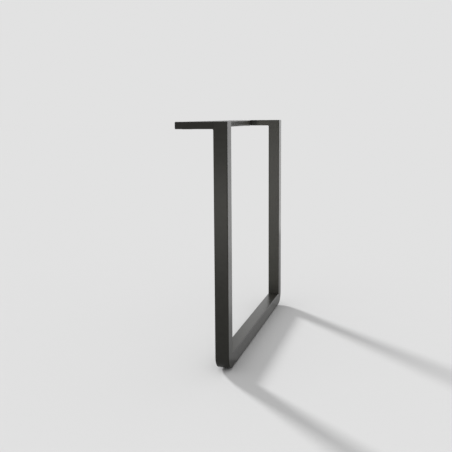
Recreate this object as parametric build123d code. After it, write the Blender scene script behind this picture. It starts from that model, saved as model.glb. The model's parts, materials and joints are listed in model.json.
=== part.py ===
from build123d import *
import os

# Loop leg for a table: a U of square steel tube that stands on the floor, with a bracket of flat
# tube at its top that is screwed up into the tabletop. Sizes are in millimetres.
# +Z is up from the floor, +Y runs from the front post to the rear post, and +X points outwards,
# away from the middle of the table. The origin is at the middle of the leg's footprint box.

# Overall size of the leg
leg_height = 700.0
leg_depth = 700.0
bracket_reach = 150.0

# Square tube of the loop
loop_tube = 40.0
loop_wall = 2.0
fold_radius = 40.0

# Flat tube of the bracket
bracket_width = 40.0
bracket_height = 20.0
bracket_wall = 2.0

# Inside radius of the long edges of both tubes
tube_inside_radius = 1.0

# Screw holes in the bracket's upper wall, with driver holes below them
screw_hole_diameter = 6.5
driver_hole_diameter = 14.0
cross_bar_screw_spacing = 220.0

# Steel plates that close the tops of the posts
cap_thickness = 3.0
cap_clearance = 0.1

# Moulded plugs in the inboard ends of the arms
plug_head = 2.5
plug_head_chamfer = 0.8
plug_depth = 15.0
plug_sleeve_inset = 1.8
plug_sleeve_wall = 1.6
plug_fit_clearance = 0.1
plug_rib_thickness = 1.2
plug_rib_count = 3

# Push-in glides under the runner
glide_diameter = 34.0
glide_height = 4.0
glide_chamfer = 1.2
glide_setback = 1.0
glide_stem_diameter = 9.6
glide_hole_clearance = 0.2
glide_barb_overhang = 0.5
glide_barb_height = 5.0
glide_barb_tip_diameter = 7.0
glide_snap_clearance = 0.2

# Places worked out from the sizes
outer_x = bracket_reach / 2
post_inner_x = outer_x - loop_tube
post_mid_x = outer_x - loop_tube / 2
arm_end_x = plug_head - outer_x
arm_mid_y = leg_depth / 2 - bracket_width / 2
bracket_mid_z = leg_height - bracket_height / 2
cross_bar_mid_x = arm_end_x + bracket_width / 2
cross_bar_length = leg_depth - 2 * bracket_width
arm_screw_x = (post_inner_x + arm_end_x + bracket_width) / 2
glide_y = leg_depth / 2 - fold_radius - glide_setback - glide_diameter / 2
ends = {"front": -1, "rear": 1}


def u_bar(depth, base, bar, thickness, radius, edge_radius):
    """U-shaped bar in the YZ plane, round outside and sharp inside, with rounded long edges."""
    half = depth / 2
    inner_half = half - bar
    floor = base + bar
    outside = FilletPolyline(
        (-half, leg_height), (-half, base), (half, base), (half, leg_height), radius=radius
    )
    inside = Polyline(
        (half, leg_height),
        (inner_half, leg_height),
        (inner_half, floor),
        (-inner_half, floor),
        (-inner_half, leg_height),
        (-half, leg_height),
    )
    side = Plane.YZ * make_face(outside.edges() + inside.edges())
    block = Pos(post_mid_x - thickness / 2, 0, 0) * extrude(side, thickness)
    long_edges = [
        edge for edge in block.faces().filter_by(Axis.X).edges() if edge.center().Z < leg_height - bar
    ]
    return fillet(long_edges, edge_radius)


def leg_loop():
    """Hollow square tube folded into a U, with a hole for each glide in its underside."""
    shell = u_bar(
        leg_depth, glide_height, loop_tube, loop_tube, fold_radius, tube_inside_radius + loop_wall
    )
    hollow = u_bar(
        leg_depth - 2 * loop_wall,
        glide_height + loop_wall,
        loop_tube - 2 * loop_wall,
        loop_tube - 2 * loop_wall,
        fold_radius - loop_wall,
        tube_inside_radius,
    )
    hole_radius = glide_stem_diameter / 2 + glide_hole_clearance
    drill_length = 3 * loop_wall
    loop = shell - hollow
    for sign in ends.values():
        loop -= Pos(post_mid_x, sign * glide_y, glide_height) * Cylinder(hole_radius, drill_length)
    return loop


def post_cap(sign):
    """Plate that lies inside the open top of a post, level with its rim."""
    side = loop_tube - 2 * loop_wall - 2 * cap_clearance
    plate = extrude(RectangleRounded(side, side, tube_inside_radius), -cap_thickness)
    return Pos(post_mid_x, sign * (leg_depth - loop_tube) / 2, leg_height) * plate


def flat_tube(length):
    """Length of the bracket's flat tube along Z, with its width along X."""
    outside = RectangleRounded(bracket_width, bracket_height, tube_inside_radius + bracket_wall)
    inside = RectangleRounded(
        bracket_width - 2 * bracket_wall, bracket_height - 2 * bracket_wall, tube_inside_radius
    )
    return extrude(outside - inside, length)


def screw_passage(x, y):
    """Screw hole through the bracket's upper wall and driver hole through its lower wall."""
    half = bracket_height / 2
    upwards = (Align.CENTER, Align.CENTER, Align.MIN)
    downwards = (Align.CENTER, Align.CENTER, Align.MAX)
    screw = Cylinder(screw_hole_diameter / 2, half, align=upwards)
    driver = Cylinder(driver_hole_diameter / 2, half, align=downwards)
    return Pos(x, y, bracket_mid_z) * (screw + driver)


def arm(sign):
    """Arm from the post's inboard face to the end of the bracket."""
    seat = Plane((post_inner_x, sign * arm_mid_y, bracket_mid_z), x_dir=(0, 1, 0), z_dir=(-1, 0, 0))
    tube = seat * flat_tube(post_inner_x - arm_end_x)
    return tube - screw_passage(arm_screw_x, sign * arm_mid_y)


def cross_bar():
    """Bar between the two arms, level with their inboard ends."""
    seat = Plane(
        (cross_bar_mid_x, -cross_bar_length / 2, bracket_mid_z), x_dir=(1, 0, 0), z_dir=(0, 1, 0)
    )
    bar = seat * flat_tube(cross_bar_length)
    for sign in ends.values():
        bar -= screw_passage(cross_bar_mid_x, sign * cross_bar_screw_spacing / 2)
    return bar


def arm_plug(sign):
    """Plug with a thin head, an open sleeve and ribs that grip the inside of the arm."""
    width = bracket_width - 2 * bracket_wall
    height = bracket_height - 2 * bracket_wall
    outer_radius = tube_inside_radius + bracket_wall
    head = extrude(RectangleRounded(bracket_width, bracket_height, outer_radius), plug_head)
    head = chamfer(head.faces().sort_by(Axis.Z)[-1].edges(), plug_head_chamfer)
    sleeve_width = width - 2 * plug_sleeve_inset
    sleeve_height = height - 2 * plug_sleeve_inset
    sleeve = Rectangle(sleeve_width, sleeve_height) - Rectangle(
        sleeve_width - 2 * plug_sleeve_wall, sleeve_height - 2 * plug_sleeve_wall
    )
    rib = RectangleRounded(
        width - 2 * plug_fit_clearance, height - 2 * plug_fit_clearance, tube_inside_radius
    ) - Rectangle(sleeve_width, sleeve_height)
    plug = head + extrude(sleeve, -plug_depth)
    rib_pitch = plug_depth / plug_rib_count
    for place in range(1, plug_rib_count + 1):
        plug += Pos(0, 0, -place * rib_pitch) * extrude(rib, plug_rib_thickness)
    seat = Plane((arm_end_x, sign * arm_mid_y, bracket_mid_z), x_dir=(0, 1, 0), z_dir=(-1, 0, 0))
    return seat * plug


def glide(sign):
    """Turned glide: a bevelled foot and a stem whose barb snaps behind the runner's lower wall."""
    foot_radius = glide_diameter / 2
    stem_radius = glide_stem_diameter / 2
    barb_radius = stem_radius + glide_hole_clearance + glide_barb_overhang
    barb_base = glide_height + loop_wall + glide_snap_clearance
    foot = Cylinder(foot_radius, glide_height, align=(Align.CENTER, Align.CENTER, Align.MIN))
    foot = chamfer(foot.edges().sort_by(Axis.Z)[0], glide_chamfer)
    profile = Polyline(
        (0, glide_height),
        (stem_radius, glide_height),
        (stem_radius, barb_base),
        (barb_radius, barb_base),
        (glide_barb_tip_diameter / 2, barb_base + glide_barb_height),
        (0, barb_base + glide_barb_height),
        close=True,
    )
    stem = revolve(Plane.XZ * make_face(profile), Axis.Z)
    return Pos(post_mid_x, sign * glide_y, 0) * (foot + stem)


pieces = {"leg_loop": leg_loop(), "cross_bar": cross_bar()}
for end, sign in ends.items():
    pieces[f"{end}_post_cap"] = post_cap(sign)
    pieces[f"{end}_arm"] = arm(sign)
    pieces[f"{end}_arm_plug"] = arm_plug(sign)
    pieces[f"{end}_glide"] = glide(sign)

os.makedirs("parts", exist_ok=True)
for name, piece in pieces.items():
    export_step(piece, f"parts/{name}.step")
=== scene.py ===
"""Looks of a loop table leg: a folded square tube, a bracket of flat tube, its welds, plugs and glides.

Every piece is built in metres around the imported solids, which give its size and place.
"""

import json
import math

import bmesh
import bpy
from mathutils import Matrix, Vector


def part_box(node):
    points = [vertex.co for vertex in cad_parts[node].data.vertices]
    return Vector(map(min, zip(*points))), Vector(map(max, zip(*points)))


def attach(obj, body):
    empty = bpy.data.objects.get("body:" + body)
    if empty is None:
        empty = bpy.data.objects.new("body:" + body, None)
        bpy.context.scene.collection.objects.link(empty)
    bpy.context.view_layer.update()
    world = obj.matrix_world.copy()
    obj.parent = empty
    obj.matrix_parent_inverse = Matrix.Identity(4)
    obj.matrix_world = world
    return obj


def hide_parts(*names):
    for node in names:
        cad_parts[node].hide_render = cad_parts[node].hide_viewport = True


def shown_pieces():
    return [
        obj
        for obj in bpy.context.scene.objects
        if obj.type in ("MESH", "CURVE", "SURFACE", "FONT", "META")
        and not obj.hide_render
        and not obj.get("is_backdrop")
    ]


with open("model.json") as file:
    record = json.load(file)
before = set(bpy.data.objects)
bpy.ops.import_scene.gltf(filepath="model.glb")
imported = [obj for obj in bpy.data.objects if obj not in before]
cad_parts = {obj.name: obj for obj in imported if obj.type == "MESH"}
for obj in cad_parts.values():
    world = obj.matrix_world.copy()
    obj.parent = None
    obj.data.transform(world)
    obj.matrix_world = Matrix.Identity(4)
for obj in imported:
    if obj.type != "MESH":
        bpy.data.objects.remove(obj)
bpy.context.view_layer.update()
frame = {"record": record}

MM = 0.001
BODY = "root"
ENDS = {"front": -1, "rear": 1}

# Places that the solids give
LOOP_LOW, LOOP_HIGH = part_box("leg_loop")
ARM_LOW, ARM_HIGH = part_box("rear_arm")
BAR_LOW, BAR_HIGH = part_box("cross_bar")
CAP_LOW, CAP_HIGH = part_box("rear_post_cap")
PLUG_LOW, PLUG_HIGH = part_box("rear_arm_plug")
GLIDE_LOW, GLIDE_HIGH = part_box("rear_glide")
MOUNTS = {mount["name"]: mount for mount in frame["record"]["mounts"]}

# Sizes worked out from those places
TUBE = LOOP_HIGH.x - LOOP_LOW.x
POST_X = (LOOP_LOW.x + LOOP_HIGH.x) / 2
POST_INSIDE_Y = LOOP_HIGH.y - TUBE
RUNNER_TOP = LOOP_LOW.z + TUBE
TOP = LOOP_HIGH.z
ARM_Y = (ARM_LOW.y + ARM_HIGH.y) / 2
ARM_WIDTH = ARM_HIGH.y - ARM_LOW.y
ARM_HEIGHT = ARM_HIGH.z - ARM_LOW.z
BRACKET_Z = (ARM_LOW.z + ARM_HIGH.z) / 2
BAR_X = (BAR_LOW.x + BAR_HIGH.x) / 2
GLIDE_X = (GLIDE_LOW.x + GLIDE_HIGH.x) / 2
GLIDE_Y = (GLIDE_LOW.y + GLIDE_HIGH.y) / 2
GLIDE_RADIUS = (GLIDE_HIGH.x - GLIDE_LOW.x) / 2
GLIDE_HEIGHT = LOOP_LOW.z

# Tube sections and edges
WALL = 2 * MM
EDGE_RADIUS = 3 * MM
EDGE_STEPS = 7
INSIDE_FOLD_RADIUS = 0.3 * MM
FOLD_STEPS = 28
CORNER_STEPS = 6
CUT_EDGE_BEVEL = 0.25 * MM
CUT_EDGE_STEPS = 2
CUT_EDGE_ANGLE = math.radians(40)

# Holes
SCREW_HOLE_RADIUS = MOUNTS["arm_screws"]["dims"]["hole_r_mm"] * MM
DRIVER_HOLE_RADIUS = 7 * MM
GLIDE_HOLE_RADIUS = 5 * MM
HOLE_STEPS = 40

# Plugs and caps
PLUG_CROWN = 0.35 * MM
PLUG_BEVEL = 0.8 * MM
PLUG_SLEEVE_INSET = 1.8 * MM
PLUG_SLEEVE_WALL = 1.6 * MM
PLUG_FIT = 0.1 * MM
PLUG_RIB = 1.2 * MM
PLUG_RIBS = 3
PLUG_EDGE_BEVEL = 0.15 * MM
CAP_BEVEL = 0.35 * MM

# Glides
GLIDE_STEPS = 64
GLIDE_BEVEL = 1.2 * MM
GLIDE_BEVEL_SWELL = 0.6
GLIDE_RIM_RADIUS = 0.7 * MM
GLIDE_SOLE_RECESS = 0.6 * MM
GLIDE_SOLE_RIM = 4 * MM
GLIDE_STEM_RADIUS = 4.8 * MM
GLIDE_BARB_RADIUS = 5.5 * MM
GLIDE_TIP_RADIUS = 3.5 * MM
GLIDE_BARB_BASE = 2.2 * MM
GLIDE_EDGE_BEVEL = 0.2 * MM

# Welds: rippled beads, and seams that are filled and ground flush
BEAD_WIDTH = 3.6 * MM
BEAD_SIDES = 14
BEAD_END_SHARE = 0.55
BEAD_TAPER = 9
BEAD_WANDER = 0.25 * MM
BEAD_WANDER_SCALE = 260
FLUSH_BEAD_SINK = 0.9 * MM
RIPPLE_PITCH = 1.7 * MM
RIPPLE_DEPTH = 0.22
RIPPLE_STEPS = 6
GROUND_WELD_SINK = 0.06 * MM
GROUND_WELD_FADE = EDGE_RADIUS / 3
GROUND_WELD_END_SHARE = 0.4

# Paint and plastics: linear colours, scales in waves per metre
COAT_DARK = (0.0155, 0.0151, 0.0127)
COAT_LIGHT = (0.0185, 0.0181, 0.0153)
COAT_ROUGHNESS = (0.29, 0.33)
COAT_IOR = 1.5
COAT_SPECULAR = 0.15
COAT_MOTTLE_SCALE = 90
COAT_PEEL_SCALE = 480
COAT_PEEL_DEPTH = 0.09 * MM
COAT_GRAIN_SCALE = 1700
COAT_GRAIN_DEPTH = 0.05 * MM
PLUG_DARK = (0.0105, 0.0105, 0.0105)
PLUG_LIGHT = (0.0135, 0.0135, 0.0135)
PLUG_ROUGHNESS = (0.5, 0.6)
PLUG_SPECULAR = 0.25
PLUG_CLOUD_SCALE = 120
PLUG_GRAIN_SCALE = 2600
PLUG_GRAIN_DEPTH = 0.04 * MM
GLIDE_TONE = (0.026, 0.026, 0.027)
GLIDE_SCUFF_TONE = (0.06, 0.059, 0.057)
GLIDE_ROUGHNESS = (0.36, 0.46)
GLIDE_CLOUD_SCALE = 150
GLIDE_SCUFF_SCALE = 700
GLIDE_GRAIN_SCALE = 1500
GLIDE_GRAIN_DEPTH = 0.03 * MM

# Camera, as the photograph's edges give it
CAMERA_PLACE = Vector((0.551, -1.9233, 0.7124))
CAMERA_YAW = math.radians(16.979)
CAMERA_PITCH = math.radians(6.754)
CAMERA_ROLL = math.radians(0.423)
CAMERA_LENS = 49.038
CAMERA_SHIFT_Y = -0.08

# Light: the lit floor is as light as the room behind it, so no horizon shows
ROOM_LIGHT = 0.76
KEY_LIGHT = 4.6
KEY_SPREAD = math.radians(8)
KEY_ELEVATION = math.radians(17.5)
KEY_HEADING = math.radians(-40.825)
FLOOR_SHADE = ROOM_LIGHT / (ROOM_LIGHT + KEY_LIGHT * math.sin(KEY_ELEVATION) / math.pi)
FLOOR_REACH = 40
FACING_FRONT = math.radians(-90)
FACING_REAR = math.radians(90)
FACING_UP = math.radians(180)
WIDE_BEAM = math.radians(180)
POST_BEAM = math.radians(25)
ARM_BEAM = math.radians(10)


# Materials

def new_material(name):
    """Material with a bare node tree, its shader and its texture coordinates."""
    material = bpy.data.materials.new(name)
    material.use_nodes = True
    nodes = material.node_tree.nodes
    shader = nodes["Principled BSDF"]
    place = nodes.new("ShaderNodeTexCoord")
    return material, material.node_tree, shader, place.outputs["Object"]


def noise(tree, place, scale, detail=2):
    """Noise of a given scale, in waves per metre."""
    node = tree.nodes.new("ShaderNodeTexNoise")
    node.inputs["Scale"].default_value = scale
    node.inputs["Detail"].default_value = detail
    tree.links.new(place, node.inputs["Vector"])
    return node.outputs["Fac"]


def spread(tree, value, low, high, start=0.3, stop=0.7):
    """Value between start and stop stretched over low to high."""
    node = tree.nodes.new("ShaderNodeMapRange")
    node.inputs["From Min"].default_value = start
    node.inputs["From Max"].default_value = stop
    node.inputs["To Min"].default_value = low
    node.inputs["To Max"].default_value = high
    tree.links.new(value, node.inputs["Value"])
    return node.outputs["Result"]


def two_tone(tree, value, dark, light):
    """Colour that goes from dark to light with value."""
    node = tree.nodes.new("ShaderNodeMix")
    node.data_type = "RGBA"
    node.inputs["A"].default_value = (*dark, 1)
    node.inputs["B"].default_value = (*light, 1)
    tree.links.new(value, node.inputs["Factor"])
    return node.outputs["Result"]


def bump(tree, height, depth, strength, below=None):
    """Bump of a given depth in metres, over an earlier one."""
    node = tree.nodes.new("ShaderNodeBump")
    node.inputs["Distance"].default_value = depth
    node.inputs["Strength"].default_value = strength
    tree.links.new(height, node.inputs["Height"])
    if below is not None:
        tree.links.new(below, node.inputs["Normal"])
    return node.outputs["Normal"]


def powder_coat():
    """Graphite black powder coat: satin, with orange peel and a faint mottle."""
    material, tree, shader, place = new_material("powder_coat")
    mottle = noise(tree, place, COAT_MOTTLE_SCALE, detail=3)
    tone = two_tone(tree, spread(tree, mottle, 0, 1), COAT_DARK, COAT_LIGHT)
    tree.links.new(tone, shader.inputs["Base Color"])
    tree.links.new(spread(tree, mottle, *COAT_ROUGHNESS), shader.inputs["Roughness"])
    peel = bump(tree, noise(tree, place, COAT_PEEL_SCALE, detail=1), COAT_PEEL_DEPTH, strength=0.4)
    grain = bump(tree, noise(tree, place, COAT_GRAIN_SCALE), COAT_GRAIN_DEPTH, strength=0.45, below=peel)
    tree.links.new(grain, shader.inputs["Normal"])
    shader.inputs["IOR"].default_value = COAT_IOR
    shader.inputs["Specular IOR Level"].default_value = COAT_SPECULAR
    return material


def plug_plastic():
    """Black moulded plastic with a fine spark-eroded grain."""
    material, tree, shader, place = new_material("plug_plastic")
    cloud = noise(tree, place, PLUG_CLOUD_SCALE)
    tone = two_tone(tree, spread(tree, cloud, 0, 1), PLUG_DARK, PLUG_LIGHT)
    tree.links.new(tone, shader.inputs["Base Color"])
    tree.links.new(spread(tree, cloud, *PLUG_ROUGHNESS), shader.inputs["Roughness"])
    grain = bump(tree, noise(tree, place, PLUG_GRAIN_SCALE), PLUG_GRAIN_DEPTH, strength=0.5)
    tree.links.new(grain, shader.inputs["Normal"])
    shader.inputs["Specular IOR Level"].default_value = PLUG_SPECULAR
    return material


def glide_plastic():
    """Dark moulded plastic, smooth at the rim and scuffed on the sole."""
    material, tree, shader, place = new_material("glide_plastic")
    cloud = noise(tree, place, GLIDE_CLOUD_SCALE)
    height = tree.nodes.new("ShaderNodeSeparateXYZ")
    tree.links.new(place, height.inputs["Vector"])
    wear = spread(tree, height.outputs["Z"], 1, 0, start=0, stop=GLIDE_BEVEL)
    scuff = tree.nodes.new("ShaderNodeMath")
    scuff.operation = "MULTIPLY"
    tree.links.new(wear, scuff.inputs[0])
    tree.links.new(spread(tree, noise(tree, place, GLIDE_SCUFF_SCALE, detail=4), 0, 1), scuff.inputs[1])
    tone = two_tone(tree, scuff.outputs["Value"], GLIDE_TONE, GLIDE_SCUFF_TONE)
    tree.links.new(tone, shader.inputs["Base Color"])
    tree.links.new(spread(tree, cloud, *GLIDE_ROUGHNESS), shader.inputs["Roughness"])
    grain = bump(tree, noise(tree, place, GLIDE_GRAIN_SCALE), GLIDE_GRAIN_DEPTH, strength=0.35)
    tree.links.new(grain, shader.inputs["Normal"])
    return material


# Node trees for what follows a path

def new_tree(name, inputs):
    """Geometry node tree with named inputs. Gives the tree and its input and output nodes."""
    tree = bpy.data.node_groups.new(name, "GeometryNodeTree")
    tree.interface.new_socket("Path", in_out="INPUT", socket_type="NodeSocketGeometry")
    for label, kind in inputs.items():
        tree.interface.new_socket(label, in_out="INPUT", socket_type=kind)
    tree.interface.new_socket("Piece", in_out="OUTPUT", socket_type="NodeSocketGeometry")
    start = tree.nodes.new("NodeGroupInput")
    end = tree.nodes.new("NodeGroupOutput")
    return tree, start.outputs, end.inputs


def add(tree, kind, links, **settings):
    """Node of a kind, with its settings and with values or other nodes' outputs on its inputs."""
    node = tree.nodes.new(kind)
    for label, value in settings.items():
        setattr(node, label, value)
    for label, value in links.items():
        if isinstance(value, bpy.types.NodeSocket):
            tree.links.new(value, node.inputs[label])
        else:
            node.inputs[label].default_value = value
    return node


def sums(tree, operation, first, second):
    """Result of a sum on two values."""
    return add(tree, "ShaderNodeMath", {0: first, 1: second}, operation=operation).outputs["Value"]


def close_tree(tree, piece, finish, end):
    """Smooth shading, real geometry and material at the end of a tree."""
    smooth = add(tree, "GeometryNodeSetShadeSmooth", {"Geometry": piece})
    real = add(tree, "GeometryNodeRealizeInstances", {"Geometry": smooth.outputs["Geometry"]})
    painted = add(
        tree, "GeometryNodeSetMaterial", {"Geometry": real.outputs["Geometry"], "Material": finish}
    )
    tree.links.new(painted.outputs["Geometry"], end["Piece"])


def folded_tube_tree():
    """Tube of a rounded section that follows a path of straight runs and swings round each corner."""
    tree, given, end = new_tree(
        "folded_tube",
        {
            "Width": "NodeSocketFloat",
            "Height": "NodeSocketFloat",
            "Lift": "NodeSocketFloat",
            "Edge Radius": "NodeSocketFloat",
            "Edge Steps": "NodeSocketInt",
            "Fold Radius": "NodeSocketFloat",
            "Fold Steps": "NodeSocketInt",
            "Finish": "NodeSocketMaterial",
        },
    )
    runs = add(tree, "GeometryNodeMeshToCurve", {"Mesh": given["Path"]})
    folds = add(
        tree,
        "GeometryNodeFilletCurve",
        {"Curve": runs.outputs["Curve"], "Radius": given["Fold Radius"], "Count": given["Fold Steps"]},
        mode="POLY",
    )
    section = add(
        tree,
        "GeometryNodeCurvePrimitiveQuadrilateral",
        {"Width": given["Width"], "Height": given["Height"]},
    )
    rounded = add(
        tree,
        "GeometryNodeFilletCurve",
        {"Curve": section.outputs["Curve"], "Radius": given["Edge Radius"], "Count": given["Edge Steps"]},
        mode="POLY",
    )
    offset = add(tree, "ShaderNodeCombineXYZ", {"Y": given["Lift"]})
    lifted = add(
        tree,
        "GeometryNodeTransform",
        {"Geometry": rounded.outputs["Curve"], "Translation": offset.outputs["Vector"]},
    )
    swept = add(
        tree,
        "GeometryNodeCurveToMesh",
        {"Curve": folds.outputs["Curve"], "Profile Curve": lifted.outputs["Geometry"]},
    )
    close_tree(tree, swept.outputs["Mesh"], given["Finish"], end)
    return tree


def weld_bead_tree():
    """Rippled weld bead along each path, thinner at its ends and not quite straight."""
    tree, given, end = new_tree(
        "weld_bead",
        {
            "Bead Width": "NodeSocketFloat",
            "Ripple Pitch": "NodeSocketFloat",
            "Ripple Depth": "NodeSocketFloat",
            "Wander": "NodeSocketFloat",
            "Seed": "NodeSocketFloat",
            "Finish": "NodeSocketMaterial",
        },
    )
    runs = add(tree, "GeometryNodeMeshToCurve", {"Mesh": given["Path"]})
    step = sums(tree, "DIVIDE", given["Ripple Pitch"], RIPPLE_STEPS)
    points = add(
        tree, "GeometryNodeResampleCurve", {"Curve": runs.outputs["Curve"], "Length": step}, mode="LENGTH"
    )
    along = add(tree, "GeometryNodeSplineParameter", {})
    turns = sums(tree, "DIVIDE", along.outputs["Length"], given["Ripple Pitch"])
    wave = add(tree, "ShaderNodeMath", {0: sums(tree, "MULTIPLY", turns, math.pi)}, operation="SINE")
    crest = add(tree, "ShaderNodeMath", {0: wave.outputs["Value"]}, operation="ABSOLUTE")
    ripple = sums(tree, "MULTIPLY", crest.outputs["Value"], given["Ripple Depth"])
    from_end = sums(tree, "SUBTRACT", 1.0, along.outputs["Factor"])
    nearest = sums(tree, "MINIMUM", along.outputs["Factor"], from_end)
    rise = sums(tree, "MULTIPLY", nearest, BEAD_TAPER)
    taper = sums(tree, "MINIMUM", sums(tree, "ADD", rise, BEAD_END_SHARE), 1.0)
    share = sums(tree, "MULTIPLY", sums(tree, "ADD", ripple, 1.0), taper)
    radius = sums(tree, "MULTIPLY", share, sums(tree, "MULTIPLY", given["Bead Width"], 0.5))
    sized = add(
        tree, "GeometryNodeSetCurveRadius", {"Curve": points.outputs["Curve"], "Radius": radius}
    )
    unrest = add(
        tree,
        "ShaderNodeTexNoise",
        {"W": given["Seed"], "Scale": BEAD_WANDER_SCALE, "Detail": 1.0},
        noise_dimensions="4D",
    )
    centred = add(
        tree, "ShaderNodeVectorMath", {0: unrest.outputs["Color"], 1: (0.5, 0.5, 0.5)}, operation="SUBTRACT"
    )
    shove = add(
        tree,
        "ShaderNodeVectorMath",
        {0: centred.outputs["Vector"], "Scale": given["Wander"]},
        operation="SCALE",
    )
    shaken = add(
        tree,
        "GeometryNodeSetPosition",
        {"Geometry": sized.outputs["Curve"], "Offset": shove.outputs["Vector"]},
    )
    ring = add(tree, "GeometryNodeCurvePrimitiveCircle", {"Resolution": BEAD_SIDES, "Radius": 1.0})
    swept = add(
        tree,
        "GeometryNodeCurveToMesh",
        {
            "Curve": shaken.outputs["Geometry"],
            "Profile Curve": ring.outputs["Curve"],
            "Scale": add(tree, "GeometryNodeInputRadius", {}).outputs["Radius"],
            "Fill Caps": True,
        },
    )
    close_tree(tree, swept.outputs["Mesh"], given["Finish"], end)
    return tree


# Making pieces

def path_object(name, paths):
    """Object of bare edges, one chain for each path of points."""
    points = [point for path in paths for point in path]
    edges = []
    start = 0
    for path in paths:
        edges += [(start + step, start + step + 1) for step in range(len(path) - 1)]
        start += len(path)
    mesh = bpy.data.meshes.new(name)
    mesh.from_pydata(points, edges, [])
    obj = bpy.data.objects.new(name, mesh)
    bpy.context.scene.collection.objects.link(obj)
    return obj


def follow(obj, tree, values):
    """Node tree on an object, with its named inputs set."""
    modifier = obj.modifiers.new(tree.name, "NODES")
    modifier.node_group = tree
    for item in tree.interface.items_tree:
        if item.in_out == "INPUT" and item.name in values:
            modifier[item.identifier] = values[item.name]


def crisp(obj, bevel):
    """Small bevel on the cut edges, and shading that keeps the flats flat."""
    edge = obj.modifiers.new("cut_edges", "BEVEL")
    edge.width = bevel
    edge.segments = CUT_EDGE_STEPS
    edge.limit_method = "ANGLE"
    edge.angle_limit = CUT_EDGE_ANGLE
    flats = obj.modifiers.new("flats", "WEIGHTED_NORMAL")
    flats.keep_sharp = True


def settle(obj, nodes, material):
    """Modifiers turned into a plain mesh, which then stands for its solids."""
    graph = bpy.context.evaluated_depsgraph_get()
    mesh = bpy.data.meshes.new_from_object(obj.evaluated_get(graph))
    obj.modifiers.clear()
    obj.data = mesh
    mesh.materials.clear()
    mesh.materials.append(material)
    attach(obj, BODY)
    if nodes:
        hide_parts(*nodes)
    return obj


def drill(obj, holes, material):
    """Round holes cut through a piece. A hole is its lowest point, its radius and its length."""
    mesh = bpy.data.meshes.new("drill")
    cutter = bmesh.new()
    for low, radius, length in holes:
        middle = Matrix.Translation(Vector(low) + Vector((0, 0, length / 2)))
        bmesh.ops.create_cone(
            cutter,
            cap_ends=True,
            segments=HOLE_STEPS,
            radius1=radius,
            radius2=radius,
            depth=length,
            matrix=middle,
        )
    cutter.to_mesh(mesh)
    cutter.free()
    mesh.materials.append(material)
    tool = bpy.data.objects.new("drill", mesh)
    bpy.context.scene.collection.objects.link(tool)
    cut = obj.modifiers.new("holes", "BOOLEAN")
    cut.operation = "DIFFERENCE"
    cut.solver = "EXACT"
    cut.object = tool
    return tool


def tube_piece(name, path, section, lift, holes, nodes):
    """Hollow tube along a path, drilled, with deburred ends."""
    width, height = section
    obj = path_object(name, [path])
    follow(
        obj,
        FOLDED_TUBE,
        {
            "Width": width,
            "Height": height,
            "Lift": lift,
            "Edge Radius": EDGE_RADIUS,
            "Edge Steps": EDGE_STEPS,
            "Fold Radius": INSIDE_FOLD_RADIUS,
            "Fold Steps": FOLD_STEPS,
            "Finish": POWDER_COAT,
        },
    )
    wall = obj.modifiers.new("wall", "SOLIDIFY")
    wall.thickness = WALL
    wall.offset = -1
    wall.use_even_offset = True
    tool = drill(obj, holes, POWDER_COAT)
    crisp(obj, CUT_EDGE_BEVEL)
    settle(obj, nodes, POWDER_COAT)
    bpy.data.objects.remove(tool)
    return obj


def rounded_rectangle(width, height, radius):
    """Points of a rectangle with round corners, about its middle."""
    points = []
    for corner, (side, up) in enumerate(((1, 1), (-1, 1), (-1, -1), (1, -1))):
        centre = Vector((side * (width / 2 - radius), up * (height / 2 - radius)))
        for step in range(CORNER_STEPS + 1):
            angle = math.pi / 2 * (corner + step / CORNER_STEPS)
            points.append(centre + radius * Vector((math.cos(angle), math.sin(angle))))
    return points


def inset_rectangle(size, inset, radius):
    """Points of a rectangle with round corners that lies inside another size."""
    return rounded_rectangle(size[0] - 2 * inset, size[1] - 2 * inset, radius)


def circle(radius, steps):
    """Points of a circle about its middle."""
    turns = [2 * math.pi * step / steps for step in range(steps)]
    return [radius * Vector((math.cos(turn), math.sin(turn))) for turn in turns]


def add_skin(form, rings, seat):
    """Closed skin through rings of points, each at its own height along the seat's Z."""
    rows = []
    for points, height in rings:
        rows.append([form.verts.new(seat @ Vector((*point, height))) for point in points])
    for lower, upper in zip(rows, rows[1:]):
        for place in range(len(lower)):
            after = (place + 1) % len(lower)
            form.faces.new((lower[place], lower[after], upper[after], upper[place]))
    form.faces.new(rows[0])
    form.faces.new(rows[-1])


def loft_piece(name, skins, nodes, material, bevel=None):
    """Piece of closed skins: smooth with softened edges where a bevel is given, plain facets elsewhere."""
    form = bmesh.new()
    for rings, seat in skins:
        add_skin(form, rings, seat)
    bmesh.ops.recalc_face_normals(form, faces=form.faces)
    for face in form.faces:
        face.smooth = bevel is not None
    mesh = bpy.data.meshes.new(name)
    form.to_mesh(mesh)
    form.free()
    obj = bpy.data.objects.new(name, mesh)
    bpy.context.scene.collection.objects.link(obj)
    if bevel is not None:
        crisp(obj, bevel)
    return settle(obj, nodes, material)


# The pieces

def screw_passage(x, y):
    """Screw hole in the bracket's upper wall and driver hole in its lower wall."""
    return [
        ((x, y, BRACKET_Z), SCREW_HOLE_RADIUS, ARM_HEIGHT),
        ((x, y, BRACKET_Z - ARM_HEIGHT), DRIVER_HOLE_RADIUS, ARM_HEIGHT),
    ]


def loop_tube():
    """Square tube folded into a U: the section swings round the inside of each corner."""
    path = [
        (POST_X, -POST_INSIDE_Y, TOP),
        (POST_X, -POST_INSIDE_Y, RUNNER_TOP),
        (POST_X, POST_INSIDE_Y, RUNNER_TOP),
        (POST_X, POST_INSIDE_Y, TOP),
    ]
    below = LOOP_LOW.z - WALL
    holes = [((GLIDE_X, sign * GLIDE_Y, below), GLIDE_HOLE_RADIUS, 3 * WALL) for sign in ENDS.values()]
    return tube_piece("loop_tube", path, (TUBE, TUBE), TUBE / 2, holes, ["leg_loop"])


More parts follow.
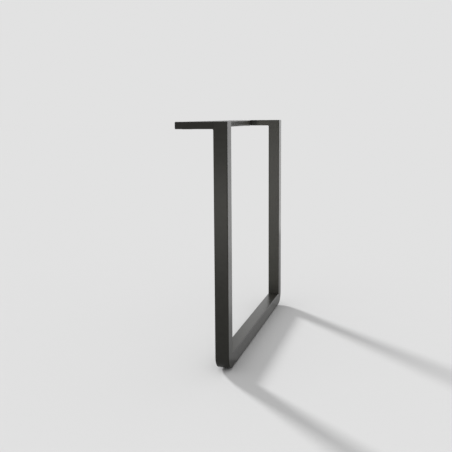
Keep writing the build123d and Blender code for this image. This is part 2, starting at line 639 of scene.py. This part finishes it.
def arm_tube(end, sign):
    """Flat tube from a post to the end of the bracket."""
    y = sign * ARM_Y
    path = [(ARM_HIGH.x, y, BRACKET_Z), (ARM_LOW.x, y, BRACKET_Z)]
    holes = screw_passage(MOUNTS["arm_screws"]["pos_m"][0], y)
    return tube_piece(f"{end}_arm_tube", path, (ARM_WIDTH, ARM_HEIGHT), 0, holes, [f"{end}_arm"])


def cross_bar_tube():
    """Flat tube between the arms."""
    path = [(BAR_X, BAR_LOW.y, BRACKET_Z), (BAR_X, BAR_HIGH.y, BRACKET_Z)]
    spacing = MOUNTS["cross_bar_screws"]["dims"]["spacing_y_mm"] * MM
    holes = []
    for sign in ENDS.values():
        holes += screw_passage(BAR_X, sign * spacing / 2)
    return tube_piece("cross_bar_tube", path, (BAR_HIGH.x - BAR_LOW.x, ARM_HEIGHT), 0, holes, ["cross_bar"])


def post_cap_plate(end, sign):
    """Plate in the top of a post, with a fine joint round it."""
    side = CAP_HIGH.x - CAP_LOW.x
    outline = rounded_rectangle(side, side, EDGE_RADIUS - WALL)
    rings = [(outline, CAP_LOW.z), (outline, CAP_HIGH.z)]
    seat = Matrix.Translation((POST_X, sign * (CAP_LOW.y + CAP_HIGH.y) / 2, 0))
    return loft_piece(
        f"{end}_post_cap_plate",
        [(rings, seat)],
        [f"{end}_post_cap"],
        POWDER_COAT,
        CAP_BEVEL,
    )


def arm_end_plug(end, sign):
    """Plug with a crowned head, an open sleeve and ribs that grip the inside of the arm."""
    head = ARM_LOW.x - PLUG_LOW.x
    depth = PLUG_HIGH.x - ARM_LOW.x
    full = (ARM_WIDTH, ARM_HEIGHT)
    inside = (ARM_WIDTH - 2 * WALL, ARM_HEIGHT - 2 * WALL)
    inside_radius = EDGE_RADIUS - WALL
    sleeve = inset_rectangle(inside, PLUG_SLEEVE_INSET, inside_radius)
    rib = inset_rectangle(inside, PLUG_FIT, inside_radius)
    bore = inset_rectangle(inside, PLUG_SLEEVE_INSET + PLUG_SLEEVE_WALL, inside_radius)
    rings = [
        (inset_rectangle(full, ARM_HEIGHT / 4, EDGE_RADIUS), head),
        (inset_rectangle(full, PLUG_BEVEL, EDGE_RADIUS - PLUG_BEVEL / 2), head - PLUG_CROWN),
        (inset_rectangle(full, 0, EDGE_RADIUS), head - PLUG_CROWN - PLUG_BEVEL),
        (inset_rectangle(full, 0, EDGE_RADIUS), 0),
        (sleeve, 0),
    ]
    pitch = depth / PLUG_RIBS
    for place in range(1, PLUG_RIBS + 1):
        low = -place * pitch
        rings += [(sleeve, low + PLUG_RIB), (rib, low + PLUG_RIB), (rib, low)]
        if place < PLUG_RIBS:
            rings.append((sleeve, low))
    rings += [(bore, -depth), (bore, 0)]
    seat = Matrix(((0, 0, -1, ARM_LOW.x), (1, 0, 0, sign * ARM_Y), (0, -1, 0, BRACKET_Z), (0, 0, 0, 1)))
    return loft_piece(
        f"{end}_arm_end_plug",
        [(rings, seat)],
        [f"{end}_arm_plug"],
        PLUG_PLASTIC,
        PLUG_EDGE_BEVEL,
    )


def foot_glide(end, sign):
    """Turned glide with a dished sole and a stem whose barb sits behind the runner's lower wall."""
    sole = GLIDE_RADIUS - GLIDE_BEVEL
    dish = sole - GLIDE_SOLE_RIM
    barb = GLIDE_HEIGHT + GLIDE_BARB_BASE
    profile = [
        (dish / 2, GLIDE_SOLE_RECESS),
        (dish, GLIDE_SOLE_RECESS),
        (dish + GLIDE_SOLE_RECESS, 0),
        (sole, 0),
        (sole + GLIDE_BEVEL_SWELL * GLIDE_BEVEL, (1 - GLIDE_BEVEL_SWELL) * GLIDE_BEVEL),
        (GLIDE_RADIUS, GLIDE_BEVEL),
        (GLIDE_RADIUS, GLIDE_HEIGHT - GLIDE_RIM_RADIUS),
        (GLIDE_RADIUS - GLIDE_RIM_RADIUS, GLIDE_HEIGHT),
        (GLIDE_STEM_RADIUS, GLIDE_HEIGHT),
        (GLIDE_STEM_RADIUS, barb),
        (GLIDE_BARB_RADIUS, barb),
        (GLIDE_TIP_RADIUS, GLIDE_HIGH.z),
    ]
    rings = [(circle(radius, GLIDE_STEPS), height) for radius, height in profile]
    seat = Matrix.Translation((GLIDE_X, sign * GLIDE_Y, 0))
    return loft_piece(
        f"{end}_foot_glide",
        [(rings, seat)],
        [f"{end}_glide"],
        GLIDE_PLASTIC,
        GLIDE_EDGE_BEVEL,
    )


def weld_piece(name, paths, width, seed):
    """Painted weld beads along some seams."""
    obj = path_object(name, paths)
    follow(
        obj,
        WELD_BEAD,
        {
            "Bead Width": width,
            "Ripple Pitch": RIPPLE_PITCH,
            "Ripple Depth": RIPPLE_DEPTH,
            "Wander": BEAD_WANDER,
            "Seed": seed,
            "Finish": POWDER_COAT,
        },
    )
    return settle(obj, [], POWDER_COAT)


def bracket_welds(end, sign):
    """Beads under an arm, at its post and at the cross bar, and in the corner between arm and bar."""
    low = ARM_LOW.z
    inside = sign * ARM_LOW.y
    outside = sign * ARM_HIGH.y
    step = sign * EDGE_RADIUS
    sunk = low + FLUSH_BEAD_SINK
    paths = [
        [(ARM_HIGH.x, inside + step, low), (ARM_HIGH.x, outside - step, low)],
        [(BAR_LOW.x + EDGE_RADIUS, inside, sunk), (BAR_HIGH.x - EDGE_RADIUS, inside, sunk)],
        [(BAR_HIGH.x, inside, low + EDGE_RADIUS), (BAR_HIGH.x, inside, TOP - EDGE_RADIUS)],
    ]
    return weld_piece(f"{end}_bracket_welds", paths, BEAD_WIDTH, sign)


def groove(depth_share):
    """Section of the groove between a cut end and a tube's round edge, filled to a share of its depth."""
    rim = math.acos(1 - GROUND_WELD_SINK / EDGE_RADIUS)
    bottom = Vector((0, -EDGE_RADIUS))
    points = [Vector((0, -GROUND_WELD_SINK))]
    for step in range(EDGE_STEPS + 1):
        angle = rim + (math.pi / 2 - rim) * step / EDGE_STEPS
        points.append(EDGE_RADIUS * Vector((1 - math.sin(angle), math.cos(angle) - 1)))
    return [bottom + (point - bottom) * depth_share for point in points]


def ground_weld(place, across, up, along, length):
    """Groove filled with weld and ground flush, fading out at its ends."""
    rings = [
        (groove(GROUND_WELD_END_SHARE), GROUND_WELD_FADE),
        (groove(1), EDGE_RADIUS),
        (groove(1), length - EDGE_RADIUS),
        (groove(GROUND_WELD_END_SHARE), length - GROUND_WELD_FADE),
    ]
    turn = Matrix((across, up, along)).transposed().to_4x4()
    return rings, Matrix.Translation(place) @ turn


def ground_welds(end, sign):
    """Flush welds on both sides of an arm at its post, and on top between arm and cross bar."""
    x_axis = Vector((1, 0, 0))
    y_axis = Vector((0, sign, 0))
    z_axis = Vector((0, 0, 1))
    skins = [
        ground_weld((ARM_HIGH.x, sign * ARM_HIGH.y, ARM_LOW.z), x_axis, y_axis, z_axis, ARM_HEIGHT),
        ground_weld((ARM_HIGH.x, sign * ARM_LOW.y, ARM_LOW.z), x_axis, -y_axis, z_axis, ARM_HEIGHT),
        ground_weld((BAR_LOW.x, sign * ARM_LOW.y, TOP), y_axis, z_axis, x_axis, BAR_HIGH.x - BAR_LOW.x),
    ]
    return loft_piece(f"{end}_ground_welds", skins, [], POWDER_COAT)


POWDER_COAT = powder_coat()
PLUG_PLASTIC = plug_plastic()
GLIDE_PLASTIC = glide_plastic()
FOLDED_TUBE = folded_tube_tree()
WELD_BEAD = weld_bead_tree()

loop_tube()
cross_bar_tube()
for end, sign in ENDS.items():
    arm_tube(end, sign)
    post_cap_plate(end, sign)
    arm_end_plug(end, sign)
    foot_glide(end, sign)
    bracket_welds(end, sign)
    ground_welds(end, sign)


# Stage, light and camera

def pale_floor():
    """Large pale floor under the leg."""
    mesh = bpy.data.meshes.new("floor")
    corners = [(x * FLOOR_REACH, y * FLOOR_REACH, 0) for x, y in ((-1, -1), (1, -1), (1, 1), (-1, 1))]
    mesh.from_pydata(corners, [], [(0, 1, 2, 3)])
    floor = bpy.data.objects.new("floor", mesh)
    bpy.context.scene.collection.objects.link(floor)
    material = bpy.data.materials.new("pale_floor")
    material.use_nodes = True
    shader = material.node_tree.nodes["Principled BSDF"]
    shader.inputs["Base Color"].default_value = (FLOOR_SHADE, FLOOR_SHADE, FLOOR_SHADE, 1)
    shader.inputs["Roughness"].default_value = 1
    shader.inputs["Specular IOR Level"].default_value = 0
    mesh.materials.append(material)
    floor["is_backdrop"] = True


def soft_room():
    """Even pale light all round, which is also the background."""
    world = bpy.data.worlds.new("soft_room")
    bpy.context.scene.world = world
    world.use_nodes = True
    light = world.node_tree.nodes["Background"]
    light.inputs["Color"].default_value = (1, 1, 1, 1)
    light.inputs["Strength"].default_value = ROOM_LIGHT


def key_light():
    """Low soft light from behind, which lays the post's shadow across the floor."""
    light = bpy.data.lights.new("key", "SUN")
    light.energy = KEY_LIGHT
    light.angle = KEY_SPREAD
    lamp = bpy.data.objects.new("key", light)
    level = math.cos(KEY_ELEVATION)
    aim = Vector((math.cos(KEY_HEADING) * level, math.sin(KEY_HEADING) * level, -math.sin(KEY_ELEVATION)))
    lamp.rotation_euler = aim.to_track_quat("-Z", "Y").to_euler()
    lamp.visible_glossy = False
    bpy.context.scene.collection.objects.link(lamp)


def soft_panel(name, lit, turn, place, size, brightness, mirrored=True, beam=WIDE_BEAM):
    """Soft panel that lights only the named pieces. Their paint mirrors it, unless it is a mere fill."""
    light = bpy.data.lights.new(name, "AREA")
    light.shape = "RECTANGLE"
    light.size, light.size_y = size
    light.energy = brightness * math.pi * light.size * light.size_y
    light.spread = beam
    lamp = bpy.data.objects.new(name, light)
    lamp.location = place
    lamp.rotation_euler = (turn, 0, 0)
    lamp.visible_camera = False
    lamp.visible_glossy = mirrored
    receivers = bpy.data.collections.new(name)
    for piece in lit:
        receivers.objects.link(bpy.data.objects[piece])
    lamp.light_linking.receiver_collection = receivers
    bpy.context.scene.collection.objects.link(lamp)


def soft_panels():
    """Panels round the leg. Most light only some pieces, so that undersides stay dark."""
    everything = [piece.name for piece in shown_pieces()]
    loop = ["loop_tube"]
    for end in ENDS:
        loop += [f"{end}_post_cap_plate", f"{end}_foot_glide"]
    bracket = [name for name in everything if name not in loop]
    rear_arm = ["rear_arm_tube", "rear_ground_welds"]
    soft_panel(
        "back_panel", loop, FACING_FRONT, place=(0.68, 0.95, 0.58), size=(1.44, 0.84), brightness=1.18
    )
    soft_panel(
        "back_foot", loop, FACING_FRONT, place=(0.83, 0.95, 0.08), size=(1.14, 0.16), brightness=1.32
    )
    soft_panel(
        "back_left", loop, FACING_FRONT, place=(-0.17, 0.95, 0.55), size=(0.26, 0.9), brightness=0.88
    )
    soft_panel(
        "bracket_panel", bracket, FACING_FRONT, place=(0.58, 0.95, 0.79), size=(1.64, 0.42), brightness=1.25
    )
    soft_panel(
        "floor_card", loop, FACING_UP, place=(0.58, 0.0225, 0.001), size=(1.0, 0.545), brightness=0.3
    )
    soft_panel(
        "side_card", loop, FACING_UP, place=(0.43, 0.5, 0.002), size=(0.38, 0.7), brightness=1.12
    )
    soft_panel(
        "inner_card",
        loop + rear_arm,
        FACING_REAR,
        place=(-0.1, -0.3, 0.37),
        size=(0.26, 0.64),
        brightness=1.7,
    )
    soft_panel(
        "front_panel",
        loop + rear_arm,
        FACING_REAR,
        place=(-0.25, -1.2, 0.31),
        size=(0.55, 0.4),
        brightness=2.0,
    )
    soft_panel(
        "front_fill",
        everything,
        FACING_REAR,
        place=(0.055, -0.65, 0.46),
        size=(0.3, 0.15),
        brightness=6.5,
        mirrored=False,
    )
    soft_panel(
        "rear_fill",
        loop,
        FACING_REAR,
        place=(0.03, 0.02, 0.405),
        size=(0.3, 0.68),
        brightness=1.06,
        mirrored=False,
        beam=POST_BEAM,
    )
    soft_panel(
        "arm_fill",
        rear_arm,
        FACING_REAR,
        place=(0.02, 0.2, 0.69),
        size=(0.055, 0.06),
        brightness=1.7,
        mirrored=False,
        beam=ARM_BEAM,
    )
    soft_panel(
        "bar_fill",
        ["cross_bar_tube"],
        FACING_FRONT,
        place=(0.06, 0.305, 0.69),
        size=(0.05, 0.03),
        brightness=95,
        mirrored=False,
    )


def camera():
    """Camera where the photograph was taken from."""
    level = math.cos(CAMERA_PITCH)
    ahead = Vector(
        (-math.sin(CAMERA_YAW) * level, math.cos(CAMERA_YAW) * level, -math.sin(CAMERA_PITCH))
    )
    right = Vector((math.cos(CAMERA_YAW), math.sin(CAMERA_YAW), 0))
    down = ahead.cross(right)
    side = math.cos(CAMERA_ROLL) * right + math.sin(CAMERA_ROLL) * down
    below = -math.sin(CAMERA_ROLL) * right + math.cos(CAMERA_ROLL) * down
    data = bpy.data.cameras.new("camera")
    data.lens = CAMERA_LENS
    data.shift_y = CAMERA_SHIFT_Y
    obj = bpy.data.objects.new("camera", data)
    turn = Matrix((side, -below, -ahead)).transposed().to_4x4()
    obj.matrix_world = Matrix.Translation(CAMERA_PLACE) @ turn
    bpy.context.scene.collection.objects.link(obj)
    bpy.context.scene.camera = obj


pale_floor()
soft_room()
key_light()
soft_panels()
camera()
bpy.context.scene.view_settings.view_transform = "Standard"
